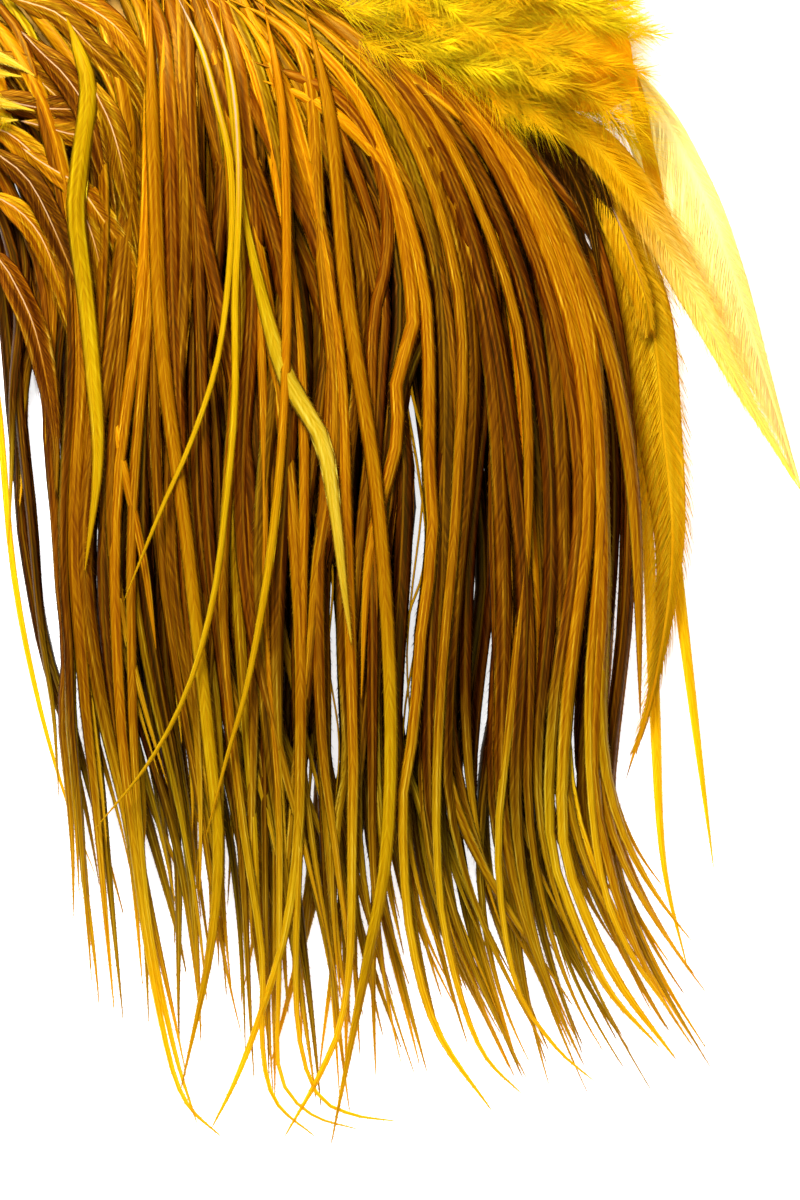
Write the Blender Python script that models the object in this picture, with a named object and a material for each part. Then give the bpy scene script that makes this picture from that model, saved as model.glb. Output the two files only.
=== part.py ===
"""Rooster saddle hackle: a dried patch of saddle skin that carries long, slender feathers.

The patch lies on its flesh side, feathers up, and the hackles run over its tail edge and
along the surface. Lengths are in millimetres and become metres where a mesh is made. X runs
across the saddle, -Y towards the feather tips, and the origin is on the skin's underside.
"""

import math

import bmesh
import bpy
from mathutils import Matrix, Vector, noise

MM = 0.001

# Driving sizes
SKIN_HALF_WIDTH = 84.0
SKIN_HALF_LENGTH = 41.0
SKIN_THICKNESS = 1.8
CLEARANCE = 0.3  # between pieces that touch
ON_SKIN = SKIN_THICKNESS + CLEARANCE
LOCK_DEPTH = 4.2  # thickness of a lock of hackles where it is fullest
QUILL_DEPTH = 1.4  # thickness of a lock where its quills leave the skin
LOCK_GAP = 0.5  # between a row of locks and the row below it
FIRST_LEVEL = LOCK_DEPTH + LOCK_GAP
SKIN_EDGE = -SKIN_HALF_LENGTH

# Dyed golden olive, from the shaded rows up to the thin bright feathers
DEEP_BROWN = (0.30, 0.13, 0.012)
GOLDEN_BROWN = (0.47, 0.22, 0.015)
AMBER = (0.62, 0.31, 0.020)
OLIVE = (0.52, 0.40, 0.020)
YELLOW = (0.83, 0.60, 0.040)
PALE_HIDE = (0.72, 0.58, 0.36)


def clear_scene():
    for old in list(bpy.data.objects):
        bpy.data.objects.remove(old)


def make_patch():
    """The empty that every piece of the patch hangs on, at the middle of the skin's underside."""
    made = bpy.data.objects.new("saddle_patch", None)
    bpy.context.scene.collection.objects.link(made)
    return made


def finish_of(name, colour, roughness):
    """A plain dyed finish, made once and shared by the pieces that wear it."""
    made = bpy.data.materials.get(name)
    if made is None:
        made = bpy.data.materials.new(name)
        made.use_nodes = True
        shader = made.node_tree.nodes["Principled BSDF"]
        shader.inputs["Base Color"].default_value = (*colour, 1.0)
        shader.inputs["Roughness"].default_value = roughness
        shader.inputs["Metallic"].default_value = 0.0
    return made


def add_piece(name, bm, finish, root):
    """The piece's object: its origin is its root, where the piece grows from the skin."""
    root = Vector(root) * MM
    bmesh.ops.translate(bm, verts=bm.verts, vec=-root)
    bmesh.ops.recalc_face_normals(bm, faces=bm.faces)
    mesh = bpy.data.meshes.new(name)
    bm.to_mesh(mesh)
    bm.free()
    mesh.shade_smooth()
    mesh.set_sharp_from_angle(angle=math.radians(50))
    mesh.materials.append(finish)
    piece = bpy.data.objects.new(name, mesh)
    piece.parent = patch
    piece.location = root
    bpy.context.scene.collection.objects.link(piece)


def ease(share):
    """From 0 to 1 with level ends."""
    share = min(1.0, max(0.0, share))
    return share * share * (3 - 2 * share)


def through(points, t):
    """The point at t, from 0 to 1, on a smooth curve through evenly timed points."""
    spans = len(points) - 1
    place = min(max(t, 0.0), 1.0) * spans
    i = min(int(place), spans - 1)
    u = place - i
    a, b, c, d = (Vector(points[min(max(k, 0), spans)]) for k in (i - 1, i, i + 1, i + 2))
    if i == 0:
        a = 2 * b - c
    if i == spans - 1:
        d = 2 * c - b
    turn = (c - a) * u + (2 * a - 5 * b + 4 * c - d) * u**2 + (3 * b - a - 3 * c + d) * u**3
    return b + turn / 2


def height_at(y, steps):
    """The height at y of a slope that eases from each (y, height) step to the next."""
    if y >= steps[0][0]:
        return steps[0][1]
    for (y0, z0), (y1, z1) in zip(steps, steps[1:]):
        if y >= y1:
            return z0 + (z1 - z0) * ease((y0 - y) / (y0 - y1))
    return steps[-1][1]


def loft(rings, tip):
    """One closed solid through the rings, from the quill end to a point at the tip."""
    bm = bmesh.new()
    face = bm.faces.new([bm.verts.new(Vector(p) * MM) for p in rings[0]])
    for n, ring in enumerate(rings[1:]):
        grown = bmesh.ops.extrude_face_region(bm, geom=[face])["geom"]
        if n:
            bmesh.ops.delete(bm, geom=[face], context="FACES_ONLY")
        face = next(part for part in grown if isinstance(part, bmesh.types.BMFace))
        for vert, place in zip(face.verts, ring):
            vert.co = Vector(place) * MM
    bmesh.ops.pointmerge(bm, verts=list(face.verts), merge_co=Vector(tip) * MM)
    return bm


# The skin is a thin dried hide, cut with rounded flanks and a shallow notch at the neck.
SKIN_CORNERS = 56
SKIN_SQUARENESS = 3.2  # 2 is an ellipse, and more is squarer
SKIN_EDGE_ROUND = 0.5
NECK_NOTCH = 3.0


def skin_outline(angle):
    c, s = math.cos(angle), math.sin(angle)
    reach = (abs(c) ** SKIN_SQUARENESS + abs(s) ** SKIN_SQUARENESS) ** (-1 / SKIN_SQUARENESS)
    ripple = 1 + 0.012 * math.sin(5 * angle + 1) + 0.008 * math.sin(9 * angle)
    notch = NECK_NOTCH * math.exp(-((angle - math.pi / 2) / 0.35) ** 2)
    x = SKIN_HALF_WIDTH * c * reach * ripple
    y = SKIN_HALF_LENGTH * s * reach * ripple - notch
    return x, y


def make_skin():
    bm = bmesh.new()
    bmesh.ops.create_circle(bm, segments=SKIN_CORNERS, radius=1.0, cap_ends=True)
    for vert in bm.verts:
        x, y = skin_outline(math.atan2(vert.co.y, vert.co.x) % math.tau)
        vert.co = Vector((x, y, 0)) * MM
    grown = bmesh.ops.extrude_face_region(bm, geom=list(bm.faces))["geom"]
    top = [part for part in grown if isinstance(part, bmesh.types.BMVert)]
    bmesh.ops.translate(bm, verts=top, vec=(0, 0, SKIN_THICKNESS * MM))
    rim = [e for e in bm.edges if abs(e.verts[0].co.z - e.verts[1].co.z) < 1e-7 and e.verts[0].co.z > 0]
    bmesh.ops.bevel(
        bm, geom=rim, offset=SKIN_EDGE_ROUND * MM, segments=1, profile=0.5, affect="EDGES"
    )
    add_piece("skin", bm, finish_of("dried_hide", PALE_HIDE, 0.6), (0, 0, 0))


# Three rows of long hackles, one over another. A row is a sheet of feathers that lie side by
# side: each of its guide strands gives (x, y) from the quills to the tips, and the strands go
# from the left flank to the right. The sheet is parted into locks.
UNDER_ROW = (
    ((-68, -36), (-54, -61), (-49, -95), (-44, -145), (-32, -198), (-22, -243)),
    ((-36, -37), (-31, -61), (-28, -94), (-25, -145), (-15, -199), (-6, -246)),
    ((-10, -37), (-7, -61), (-6, -94), (-4, -145), (5, -199), (10, -252)),
    ((13, -37), (17, -61), (22, -94), (25, -145), (26, -199), (21, -268)),
    ((36, -37), (40, -61), (44, -94), (46, -145), (43, -199), (50, -264)),
    ((50, -37), (60, -61), (69, -93), (74, -145), (70, -199), (79, -257)),
    ((60, -37), (75, -61), (86, -93), (92, -145), (90, -197), (100, -250)),
)
MIDDLE_ROW = (
    ((-77, -20), (-59, -47), (-47, -77), (-45, -110), (-38, -161), (-30, -215), (-24, -259)),
    ((-52, -20), (-36, -44), (-27, -70), (-25, -110), (-26, -161), (-15, -215), (-12, -265)),
    ((-27, -19), (-17, -37), (-12, -68), (-6, -110), (-4, -161), (3, -215), (6, -264)),
    ((-6, -20), (4, -37), (13, -68), (20, -110), (20, -161), (22, -215), (27, -278)),
    ((15, -19), (32, -37), (43, -68), (48, -110), (44, -161), (40, -215), (43, -264)),
    ((37, -20), (57, -40), (69, -68), (77, -110), (74, -161), (72, -215), (81, -267)),
    ((50, -21), (75, -47), (89, -72), (96, -110), (96, -156), (92, -210), (105, -261)),
)
TOP_ROW = (
    ((-76, -7), (-51, -27), (-38, -51), (-33, -93), (-36, -147), (-31, -203), (-26, -252)),
    ((-48, -3), (-32, -24), (-21, -47), (-19, -86), (-23, -147), (-16, -208), (-9, -270)),
    ((-24, 4), (-15, -16), (-13, -42), (-13, -86), (-12, -147), (-4, -208), (-1, -264)),
    ((-10, 5), (-2, -16), (2, -42), (8, -86), (9, -147), (12, -208), (14, -275)),
    ((0, -1), (13, -21), (27, -42), (40, -82), (34, -147), (31, -208), (30, -261)),
    ((9, -4), (29, -23), (48, -46), (60, -86), (62, -147), (61, -208), (67, -264)),
    ((20, -7), (48, -26), (69, -49), (86, -88), (90, -147), (88, -203), (102, -257)),
)
# Short body feathers that shingle the front of the patch and hide the long rows' quills
COVER_ROW = (
    ((-66, 31), (-66, 15), (-67, 2), (-68, -12)),
    ((-30, 35), (-30, 18), (-29, 3), (-27, -12)),
    ((5, 34), (6, 18), (8, 3), (10, -11)),
    ((45, 33), (47, 18), (50, 4), (54, -10)),
)

# How high the underside of each row lies, as (y, height) steps. Each row is rooted on the
# skin, climbs over the row below, and then follows it down to the surface.
SKIN_STEP = ON_SKIN - CLEARANCE
UNDER_REST = ((SKIN_EDGE - 1, ON_SKIN), (-62, 0.0))
MIDDLE_REST = ((-19, ON_SKIN), (-38, SKIN_STEP + FIRST_LEVEL), (-75, FIRST_LEVEL), (-225, FIRST_LEVEL), (-265, 3.4))
TOP_REST = (
    (-4, ON_SKIN),
    (-38, SKIN_STEP + 2 * FIRST_LEVEL + 0.1),
    (-80, 2 * FIRST_LEVEL),
    (-225, 2 * FIRST_LEVEL),
    (-262, 6.6),
)
COVER_REST = ((12, ON_SKIN), (-12, 9.2))

# A lock's depth: quills, then the full vane, then the thin tips, as (share of length, depth)
DEPTH_STEPS = ((0.0, QUILL_DEPTH), (0.16, LOCK_DEPTH), (0.72, LOCK_DEPTH), (1.0, 0.7))
PARTING = 0.045  # share of a lock's width left free at each side
SHOULDER = 0.22  # how far the flat top and bottom stop short of a lock's sides
TIP_START = 0.80  # where a lock starts to narrow to its point
LONG_STATIONS = 13
SHORT_STATIONS = 5


def between(steps, t):
    for (t0, v0), (t1, v1) in zip(steps, steps[1:]):
        if t <= t1:
            return v0 + (v1 - v0) * ease((t - t0) / (t1 - t0))
    return steps[-1][1]


def on_sheet(row, s, t):
    """The (x, y) place at share s across a row and t along it."""
    across = [through([(*p, 0) for p in strand], t) for strand in row]
    return through(across, s)


def lock_solid(row, rest, s0, s1, stations, depth_scale=1.0):
    """The solid of one lock: the strip of the row's sheet from s0 to s1, with its depth."""
    rings = []
    middle = (s0 + s1) / 2
    for k in range(stations):
        t = k / stations
        narrowed = 1 - 0.75 * ease((t - TIP_START) / (1 - TIP_START))
        half = (s1 - s0) * (0.5 - PARTING) * narrowed
        left, right = on_sheet(row, middle - half, t), on_sheet(row, middle + half, t)
        low = height_at((left.y + right.y) / 2, rest)
        deep = between(DEPTH_STEPS, t) * depth_scale
        mid = Vector((0, 0, low + deep / 2))
        bottom, top = Vector((0, 0, low)), Vector((0, 0, low + deep))
        inner_left, inner_right = left.lerp(right, SHOULDER), right.lerp(left, SHOULDER)
        rings.append(
            (
                left + mid,
                inner_left + bottom,
                inner_right + bottom,
                right + mid,
                inner_right + top,
                inner_left + top,
            )
        )
    tip = on_sheet(row, middle, 1.0)
    tip.z = height_at(tip.y, rest) + 0.3
    return loft(rings, tip)


def make_row(name, row, rest, locks, stations, finish, depth_scale=1.0):
    for i in range(locks):
        bm = lock_solid(row, rest, i / locks, (i + 1) / locks, stations, depth_scale)
        root = on_sheet(row, (i + 0.5) / locks, 0.0)
        root.z = height_at(root.y, rest)
        add_piece(f"{name}_{i + 1:02d}", bm, finish, root)


# Single feathers: (x, y, height of the underside) from quill to tip, and the vane's greatest
# width. The webby ones come from the saddle's flanks and lie out on the surface.
FLANK_FEATHERS = {
    "flank_feather_broad": (
        16.0,
        1.0,
        ((84, -25, ON_SKIN), (100, -40, 3.0), (110, -63, 2.2), (119, -87, 1.8), (129, -111, 1.8), (138, -132, 1.6)),
    ),
    "flank_feather_long": (
        9.5,
        1.2,
        ((66, -14, ON_SKIN), (80, -41, 10.5), (97, -58, 9.0), (109, -84, 5.6), (123, -107, 3.8), (145, -138, 2.6)),
    ),
    "flank_feather_blunt": (
        7.5,
        1.2,
        ((73, -27, ON_SKIN), (84, -46, 8.2), (93, -66, 6.9), (100, -84, 6.2), (102, -95, 5.4)),
    ),
    "flank_feather_bright": (
        12.0,
        1.2,
        (
            (64, -24, ON_SKIN),
            (88, -58, 4.2),
            (101, -86, 3.0),
            (105, -117, 3.0),
            (107, -145, 3.0),
            (103, -175, 3.0),
            (96, -199, 3.0),
        ),
    ),
    "edge_hackle_outer": (
        3.2,
        1.2,
        (
            (73, -36, ON_SKIN),
            (92, -61, 0.6),
            (101, -91, 0.0),
            (106, -121, 0.0),
            (108, -147, 0.0),
            (112, -181, 0.0),
            (117, -220, 0.0),
        ),
    ),
    "edge_hackle_inner": (
        3.2,
        1.2,
        (
            (69, -37, ON_SKIN),
            (86, -63, 0.6),
            (95, -93, 0.0),
            (101, -137, 0.0),
            (103, -180, 0.0),
            (105, -217, 0.0),
            (111, -244, 0.0),
        ),
    ),
    "edge_hackle_left": (
        3.4,
        1.2,
        (
            (-72, -36, ON_SKIN),
            (-60, -75, 0.6),
            (-52, -105, 0.0),
            (-48, -147, 0.0),
            (-43, -175, 0.0),
            (-36, -201, 0.0),
            (-28, -222, 0.0),
        ),
    ),
    "flank_feather_left": (
        15.0,
        1.0,
        ((-78, -24, ON_SKIN), (-87, -49, 1.6), (-91, -74, 0.8), (-89, -98, 0.8), (-82, -118, 0.6)),
    ),
}
# The stray hackles rest on the top row as it climbs: they start higher than its quills
STRAY_REST = (
    (-8, 7.8),
    (-34, SKIN_STEP + 3 * FIRST_LEVEL),
    (-80, 3 * FIRST_LEVEL),
    (-225, 3 * FIRST_LEVEL),
    (-262, 9.2),
)
# Stray hackles that lie loose on the top row: (width, level above the row, (x, y) path)
STRAY_HACKLES = {
    "stray_hackle_olive_left": (
        3.6,
        0,
        ((-36, -16), (-30, -33), (-28, -47), (-32, -70), (-31, -93), (-27, -117), (-28, -138), (-32, -152)),
    ),
    "stray_hackle_bright": (
        2.6,
        1,
        ((-9, -15), (-2, -30), (2, -47), (4, -68), (4, -89), (-1, -114), (-10, -140), (-21, -158)),
    ),
    "stray_hackle_pale": (
        4.0,
        0,
        ((-1, -15), (7, -36), (12, -58), (16, -86), (24, -119), (28, -133), (29, -150), (32, -166)),
    ),
    "stray_hackle_long_left": (
        2.6,
        2,
        ((1, -15), (5, -44), (6, -78), (6, -115), (0, -142), (-5, -161), (-15, -187), (-28, -211)),
    ),
    "stray_hackle_long_right": (
        2.6,
        1,
        ((11, -15), (16, -44), (17, -86), (16, -117), (13, -147), (8, -175), (3, -193), (-2, -212)),
    ),
    "stray_hackle_olive_low": (
        3.6,
        0,
        ((-15, -15), (-14, -51), (-12, -98), (-6, -145), (-1, -191), (1, -214), (-1, -238), (-8, -271)),
    ),
    "stray_hackle_yellow_low": (
        3.6,
        0,
        ((20, -15), (27, -44), (31, -86), (38, -133), (41, -180), (40, -215), (36, -238), (27, -284)),
    ),
}
STRAY_DEPTH = 1.3
STRAY_STEP = 1.8  # height between crossing stray hackles
STRAY_STATIONS = 16
FEATHER_WIDTHS = ((0.0, 0.16), (0.22, 0.9), (0.45, 1.0), (0.7, 0.85), (1.0, 0.12))
FEATHER_DEPTHS = ((0.0, 0.8), (0.5, 1.0), (1.0, 0.45))


def feather_solid(path, width, depth, stations):
    """A single feather: a thin vane with a low keel along its shaft, swept along path."""
    rings = []
    for k in range(stations):
        t = k / stations
        here = through(path, t)
        ahead = through(path, t + 0.02) - through(path, t - 0.02)
        side = Vector((ahead.y, -ahead.x, 0)).normalized()
        half = side * width / 2 * between(FEATHER_WIDTHS, t)
        deep = Vector((0, 0, depth * between(FEATHER_DEPTHS, t)))
        rings.append((here - half + deep * 0.45, here, here + half + deep * 0.45, here + deep))
    tip = through(path, 1.0) + Vector((0, 0, 0.2))
    return loft(rings, tip)


def make_flank_feathers():
    for name, (width, depth, path) in FLANK_FEATHERS.items():
        bright = "bright" in name or "edge" in name
        finish = finish_of("yellow", YELLOW, 0.55) if bright else finish_of("amber", AMBER, 0.55)
        add_piece(name, feather_solid(path, width, depth, 12), finish, path[0])


def make_stray_hackles():
    for name, (width, level, path) in STRAY_HACKLES.items():
        lift = level * STRAY_STEP
        places = [through([(*p, 0) for p in path], k / STRAY_STATIONS) for k in range(STRAY_STATIONS + 1)]
        raised = [(x, y, height_at(y, STRAY_REST) + lift) for x, y, _ in places]
        finish = finish_of("olive", OLIVE, 0.5) if "olive" in name else finish_of("yellow", YELLOW, 0.55)
        add_piece(name, feather_solid(raised, width, STRAY_DEPTH, STRAY_STATIONS), finish, raised[0])


# Tufts of down from the bases of the feathers, along the front and flanks of the skin.
# The two flank tufts lie over the quills of the middle row.
# (centre x, centre y, height of the foot, half width, half length, height, turn in degrees)
OVER_QUILLS = SKIN_STEP + 2 * FIRST_LEVEL + CLEARANCE
DOWN_TUFTS = {
    "down_right": (84.0, 12.0, ON_SKIN, 25.0, 13.0, 14.0, -24.0),
    "down_right_flank": (74.0, -22.0, OVER_QUILLS + CLEARANCE, 30.0, 17.0, 5.0, -38.0),
    "down_front": (2.0, 45.0, ON_SKIN, 74.0, 8.0, 9.0, 0.0),
    "down_left": (-85.0, 17.0, ON_SKIN, 15.0, 23.0, 11.0, 12.0),
    "down_left_flank": (-56.0, -40.0, OVER_QUILLS, 9.0, 12.0, 4.0, 25.0),
}
TUFT_RINGS = 7
TUFT_SPOKES = 22
TUFT_LUMPS = 0.16


def make_down(name, x, y, foot, half_width, half_length, height, turn, seed):
    """A lumpy dome with a flat foot, its ruffled side made by noise."""
    bm = bmesh.new()
    bmesh.ops.create_uvsphere(bm, u_segments=TUFT_SPOKES, v_segments=2 * TUFT_RINGS, radius=1.0)
    cut = bmesh.ops.bisect_plane(
        bm, geom=bm.verts[:] + bm.edges[:] + bm.faces[:], plane_co=(0, 0, 0), plane_no=(0, 0, 1),
        clear_inner=True, dist=1e-5,
    )
    rim = [part for part in cut["geom_cut"] if isinstance(part, bmesh.types.BMEdge)]
    bmesh.ops.contextual_create(bm, geom=rim)
    for vert in bm.verts:
        lump = 1 + TUFT_LUMPS * noise.noise(vert.co * 2.3 + Vector((seed, 0, 0)))
        spread = vert.co * lump * MM
        vert.co = Vector((spread.x * half_width, spread.y * half_length, abs(spread.z) * height))
    bmesh.ops.rotate(bm, verts=bm.verts, matrix=Matrix.Rotation(math.radians(turn), 3, "Z"))
    centre = Vector((x, y, foot))
    bmesh.ops.translate(bm, verts=bm.verts, vec=centre * MM)
    add_piece(name, bm, finish_of("down", YELLOW, 0.9), centre)


clear_scene()
patch = make_patch()
make_skin()
make_row("under_hackle", UNDER_ROW, UNDER_REST, 11, LONG_STATIONS, finish_of("deep_brown", DEEP_BROWN, 0.55))
make_row("middle_hackle", MIDDLE_ROW, MIDDLE_REST, 11, LONG_STATIONS, finish_of("golden_brown", GOLDEN_BROWN, 0.5))
make_row("top_hackle", TOP_ROW, TOP_REST, 12, LONG_STATIONS, finish_of("amber", AMBER, 0.5))
make_row("cover_feather", COVER_ROW, COVER_REST, 5, SHORT_STATIONS, finish_of("amber", AMBER, 0.5), 0.7)
make_flank_feathers()
make_stray_hackles()
for number, (tuft, sizes) in enumerate(DOWN_TUFTS.items()):
    make_down(tuft, *sizes, seed=3.0 * number)
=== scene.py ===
"""Rooster saddle hackle, seen from straight above as it lies on a white surface.

Feather tips point along -Y, the neck edge of the skin is at +Y, and Z points at the camera.
"""

import math

import bmesh
import bpy
import numpy as np
from mathutils import Matrix, Vector


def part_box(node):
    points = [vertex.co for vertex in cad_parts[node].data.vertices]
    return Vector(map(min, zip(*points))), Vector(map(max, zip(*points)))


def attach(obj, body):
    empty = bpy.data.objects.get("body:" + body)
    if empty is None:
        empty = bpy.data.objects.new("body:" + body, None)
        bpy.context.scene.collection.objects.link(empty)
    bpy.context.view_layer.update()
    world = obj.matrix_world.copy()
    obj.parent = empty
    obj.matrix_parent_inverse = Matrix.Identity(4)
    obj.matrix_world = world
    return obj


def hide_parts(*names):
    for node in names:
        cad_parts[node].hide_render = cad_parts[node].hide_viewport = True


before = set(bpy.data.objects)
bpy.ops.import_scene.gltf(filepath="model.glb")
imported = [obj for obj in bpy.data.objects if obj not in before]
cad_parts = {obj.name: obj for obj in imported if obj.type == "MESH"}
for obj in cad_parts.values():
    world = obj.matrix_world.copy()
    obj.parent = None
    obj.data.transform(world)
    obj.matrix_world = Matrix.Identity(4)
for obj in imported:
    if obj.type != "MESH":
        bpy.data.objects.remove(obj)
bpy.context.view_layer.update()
MM = 0.001

# The view: a long lens straight above the patch, close enough that the skin's front and left
# flank are out of the picture and the hackles fill its height.
VIEW_MIDDLE = Vector((43.2, -156.3, 0.0)) * MM
VIEW_HEIGHT = 280.0 * MM
CAMERA_DISTANCE = 1.15
FEATHER_LEVEL = 9.0 * MM  # the height at which the picture is VIEW_HEIGHT tall
SENSOR = 36.0


def in_scene(name, data):
    """A new object with this data, in the scene."""
    made = bpy.data.objects.new(name, data)
    bpy.context.scene.collection.objects.link(made)
    return made


view = bpy.data.cameras.new("overhead_camera")
view.sensor_width = SENSOR
view.sensor_fit = "AUTO"
view.lens = SENSOR * (CAMERA_DISTANCE - FEATHER_LEVEL) / VIEW_HEIGHT
view.clip_start = 0.05
camera = in_scene("overhead_camera", view)
camera.location = VIEW_MIDDLE + Vector((0, 0, CAMERA_DISTANCE))
bpy.context.scene.camera = camera
bpy.context.scene.view_settings.view_transform = "Standard"


# The skin is a thin hide, dried flat and dyed in the same bath as the feathers. Its flesh side
# is matt and pale, with fine creases and blotches where fat was scraped off.
def new_finish(name):
    """A material with no nodes, and a function that adds them."""
    finish = bpy.data.materials.new(name)
    finish.use_nodes = True
    tree = finish.node_tree
    tree.nodes.clear()

    def node(kind, *values, **settings):
        """A shader node. The values go to its inputs in order, and the settings to inputs or
        properties by name. A node given as a value stands for its first output."""
        made = tree.nodes.new("ShaderNode" + kind)
        given = dict(enumerate(values))
        for key, value in settings.items():
            if key in made.inputs:
                given[key] = value
            else:
                setattr(made, key, value)
        for key, value in given.items():
            if isinstance(value, bpy.types.Node):
                value = value.outputs[0]
            if isinstance(value, bpy.types.NodeSocket):
                tree.links.new(value, made.inputs[key])
            else:
                made.inputs[key].default_value = value
        return made

    return finish, node


HIDE_STAINED = (0.34, 0.14, 0.005, 1.0)
HIDE_PALE = (0.52, 0.28, 0.015, 1.0)

hide, node = new_finish("dried_hide")
where = node("TexCoord").outputs["Object"]
blotch = node("TexNoise", Vector=where, Scale=45.0, Detail=5.0, Roughness=0.62)
crease = node("TexVoronoi", Vector=where, Scale=420.0, feature="DISTANCE_TO_EDGE")
stain = node("ValToRGB", blotch)
for stop, place, colour in zip(stain.color_ramp.elements, (0.35, 0.62), (HIDE_STAINED, HIDE_PALE)):
    stop.position, stop.color = place, colour
relief = node("Math", blotch, crease, operation="ADD")
bump = node("Bump", Height=relief, Strength=0.5, Distance=0.0006)
node("OutputMaterial", node("BsdfPrincipled", stain, Roughness=0.72, Normal=bump))
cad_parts["skin"].material_slots[0].material = hide


# The under row: the lowest long hackles, rooted along the tail edge of the skin and lying on the
# surface. Each is a slim shaft with a narrow glossy vane of short barbs, dyed golden brown.
UNDER_ROW = (
    ((-68, -36), (-54, -61), (-49, -95), (-44, -145), (-32, -198), (-22, -243)),
    ((-36, -37), (-31, -61), (-28, -94), (-25, -145), (-15, -199), (-6, -246)),
    ((-10, -37), (-7, -61), (-6, -94), (-4, -145), (5, -199), (10, -252)),
    ((13, -37), (17, -61), (22, -94), (25, -145), (26, -199), (21, -268)),
    ((36, -37), (40, -61), (44, -94), (46, -145), (43, -199), (50, -264)),
    ((50, -37), (60, -61), (69, -93), (74, -145), (70, -199), (79, -257)),
    ((60, -37), (75, -61), (86, -93), (92, -145), (90, -197), (100, -250)),
)
UNDER_REST = ((-42, 2.1), (-62, 0.0))
# Gaps in the curtain, where the surface shows between the hackles of every row: (how far the
# hackles stay from the line, (x, y) line)
PARTINGS = (
    (2.5, ((40, -90), (46.5, -120), (48.5, -138), (47.5, -150), (45.5, -163), (44.3, -180),
        (43.8, -205))),
    (2.3, ((25, -132), (26.8, -156), (27.5, -175), (28.5, -191), (30, -214))),
    (2.7, ((-43.5, -88), (-41.5, -121), (-39.7, -138), (-38.5, -156), (-34.5, -187))),
)
PARTING_RUN = 24.0  # how far along its line each gap takes to open and close
LOCK_DEPTH = 4.2
HACKLE_LENGTH = 240.0
HACKLE_HALF = 1.75  # half the width of a hackle's vane
HACKLE_ARCH = 0.95  # how far the vane's middle stands above its edges
HACKLE_STATIONS = 38
PATH_POINTS = 90
SURFACE_GAP = 0.05  # nothing lies nearer the surface than this
WEB, RIDGE, UNDERSIDE = 0.16, 0.22, 0.10  # how far a vane's top, shaft and underside stand out


def curve_weights(knots, place):
    """How much of each knot makes up a smooth curve's point at each place, from 0 to 1."""
    spans = knots - 1
    at = np.clip(place, 0.0, 1.0) * spans
    first = np.clip(at.astype(int), 0, spans - 1)
    u = at - first
    shares = (
        (-u + 2 * u**2 - u**3) / 2,
        (2 - 5 * u**2 + 3 * u**3) / 2,
        (u + 4 * u**2 - 3 * u**3) / 2,
        (u**3 - u**2) / 2,
    )
    weights = np.zeros((len(at), knots))
    rows = np.arange(len(at))
    for step, share in zip((-1, 0, 1, 2), shares):
        knot = first + step
        inside = (knot >= 0) & (knot <= spans)
        end = np.clip(knot, 0, spans)
        inward = np.where(knot < 0, 1, spans - 1)
        np.add.at(weights, (rows, end), np.where(inside, share, 2 * share))
        np.add.at(weights, (rows[~inside], inward[~inside]), -share[~inside])
    return weights


def on_sheet(strands, across, along):
    """(x, y) places in a row of guide strands, at shares across it and along it."""
    strands = np.array(strands, float)
    side = curve_weights(strands.shape[0], across)
    down = curve_weights(strands.shape[1], along)
    return np.einsum("ns,nk,skc->nc", side, down, strands)


def ease(share):
    """From 0 to 1 with a soft start and end."""
    share = np.clip(share, 0.0, 1.0)
    return share * share * (3 - 2 * share)


def parted(flat):
    """(x, y) points of one hackle, kept to one side of each gap in the curtain."""
    for push, line in PARTINGS:
        line = np.array(line)
        y = flat[:, 1]
        side = flat[:, 0] - np.interp(-y, -line[:, 1], line[:, 0])
        opened = ease((line[0, 1] - y) / PARTING_RUN) * ease((y - line[-1, 1]) / PARTING_RUN)
        hand = 1.0 if np.sum(side * opened) > 0 else -1.0
        clear = hand * np.sqrt(np.maximum(hand * side, 0.0) ** 2 + push**2)
        flat = flat + np.column_stack([opened * (clear - side), 0 * side])
    return flat


def height_at(y, steps):
    """Heights at y on a slope that eases from each (y, height) step to the next."""
    height = np.full_like(y, steps[0][1])
    for (y0, z0), (y1, z1) in zip(steps, steps[1:]):
        height += (z1 - z0) * ease((y0 - y) / (y0 - y1))
    return height


def raised(flat, rest, lift=0.0):
    """A path over (x, y) points, on the slope that a row rests on and lifted off it."""
    return np.column_stack([flat, height_at(flat[:, 1], rest) + lift])


def unit(vectors):
    return vectors / np.linalg.norm(vectors, axis=1)[:, None]


def stretches(path):
    """The length of each stretch of a path."""
    return np.linalg.norm(np.diff(path, axis=0), axis=1)


def vane_width(along):
    """A hackle's width along it: a bare quill, a full web, and a long taper to a fine tip."""
    quill = 0.14 + 0.86 * ease((along - 0.015) / 0.10)
    taper = 1 - 0.16 * ease((along - 0.30) / 0.40)
    taper = taper - 0.80 * np.clip((along - 0.66) / 0.34, 0, 1) ** 1.5
    return quill * np.maximum(taper, 0.05)


def tube(segments, stations):
    """An open tube along z, a millimetre long, with its sides cut at the stations."""
    bm = bmesh.new()
    bmesh.ops.create_cone(bm, segments=segments, radius1=1.0, radius2=1.0, depth=1.0, cap_ends=False)
    sides = [e for e in bm.edges if abs(e.verts[0].co.z - e.verts[1].co.z) > 0.5]
    bmesh.ops.subdivide_edges(bm, edges=sides, cuts=stations - 1)
    return bm


def pinch_ends(bm, length):
    """Draws a blank's open ends together."""
    for end in (0.0, length):
        rim = [v for v in bm.verts if abs(v.co.y - end) < 1e-4]
        bmesh.ops.pointmerge(bm, verts=rim, merge_co=(0.0, end, 0.0))


def mesh_of(bm, name):
    """The bmesh as a mesh, which frees it."""
    mesh = bpy.data.meshes.new(name)
    bm.to_mesh(mesh)
    bm.free()
    return mesh


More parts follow.
